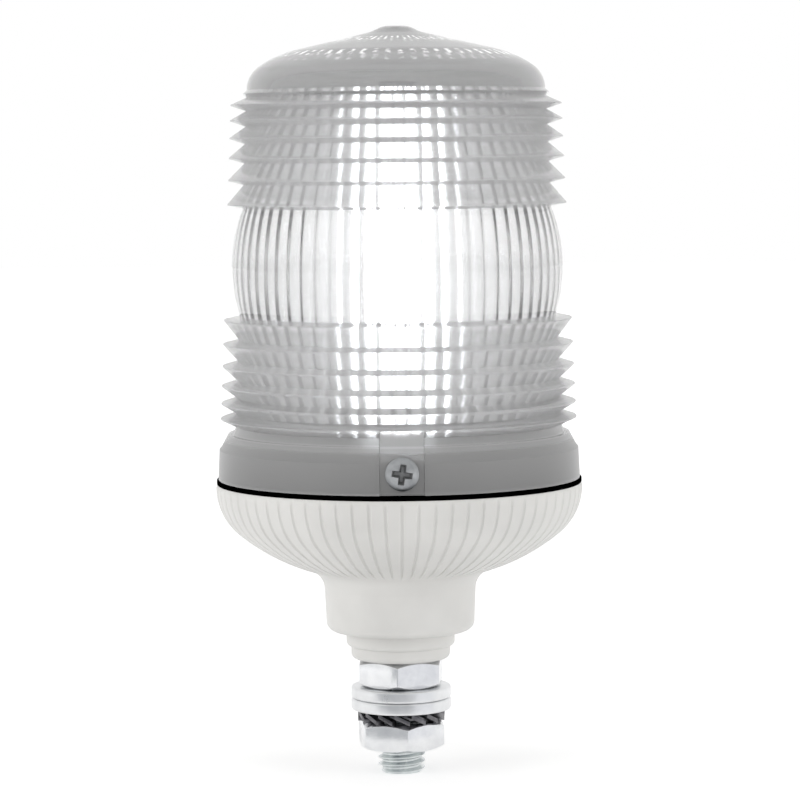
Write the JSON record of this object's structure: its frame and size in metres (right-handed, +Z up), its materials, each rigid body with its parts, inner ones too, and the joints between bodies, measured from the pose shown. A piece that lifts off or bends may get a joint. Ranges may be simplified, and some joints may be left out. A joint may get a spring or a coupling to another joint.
{
  "type": "xenon strobe beacon",
  "caption": "Clear fluted drum lens with prism rings over a ribbed white bowl, on a hollow threaded stud with nuts and washers; a xenon flash tube inside gives the warning light.",
  "frame": {"origin": "on the stud's axis, on the underside of the upper flat washer, where the top of a mounting panel sits", "axes": "+Z up along the stud towards the lens's dome, -Y towards the front lens screw"},
  "size_m": [0.0774, 0.078, 0.1577],
  "materials": {
    "clear_lens": "clear, polished moulding",
    "zinc_screw": "bright zinc",
    "black_rubber": "matt",
    "white_housing": "satin moulding",
    "white_collar": "satin moulding",
    "collar_nut_plastic": "matt moulding",
    "zinc_stud": "bright zinc",
    "zinc_nut": "bright zinc",
    "zinc_washer": "bright zinc",
    "dark_spring_steel": "blackened",
    "grey_chassis": "matt moulding",
    "board_laminate": "solder mask",
    "reflector_white": "gloss",
    "socket_ceramic": "matt",
    "tube_glass": "clear",
    "electrode_metal": "dull",
    "envelope_glass": "clear",
    "trigger_metal": "bright",
    "capacitor_sleeve": "heat-shrunk film",
    "ferrite": "matt",
    "winding_tape": "film tape",
    "coil_enamel": "enamelled wire",
    "terminal_plastic": "matt moulding",
    "terminal_brass": "machined"
  },
  "bodies": {
    "beacon": {"lens": "clear_lens", "lens_screws": "zinc_screw", "lens_gasket": "black_rubber", "base_housing": "white_housing", "stud_collar": "white_collar", "collar_ring_nut": "collar_nut_plastic", "mounting_stud": "zinc_stud", "jam_nut": "zinc_nut", "upper_washer": "zinc_washer", "chassis": "grey_chassis", "chassis_screws": "zinc_screw", "circuit_board": "board_laminate", "reflector_plate": "reflector_white", "tube_socket": "socket_ceramic", "flash_tube": "tube_glass", "tube_electrodes": "electrode_metal", "tube_envelope": "envelope_glass", "trigger_wire": "trigger_metal", "storage_capacitor": "capacitor_sleeve", "transformer_core": "ferrite", "transformer_winding": "winding_tape", "trigger_coil": "coil_enamel", "terminal_block": "terminal_plastic", "terminal_screws": "terminal_brass"},
    "washers": {"lower_washer": "zinc_washer", "tooth_lock_washer": "dark_spring_steel"},
    "clamp_nut": {"clamp_nut": "zinc_nut"}
  },
  "joints": [
    {"name": "washer_slide", "type": "slide", "parent": "beacon", "child": "washers", "axis": [0, 0, -1], "range_m": [0, 0.0045]},
    {"name": "nut_turn", "type": "hinge", "parent": "washers", "child": "clamp_nut", "pos_m": [0, 0, 0], "axis": [0, 0, -1], "range_deg": [0, 1080]}
  ],
  "couplings": [
    {"joint": "washer_slide", "follows": "nut_turn", "m_per_rad": 0.00023873}
  ]
}
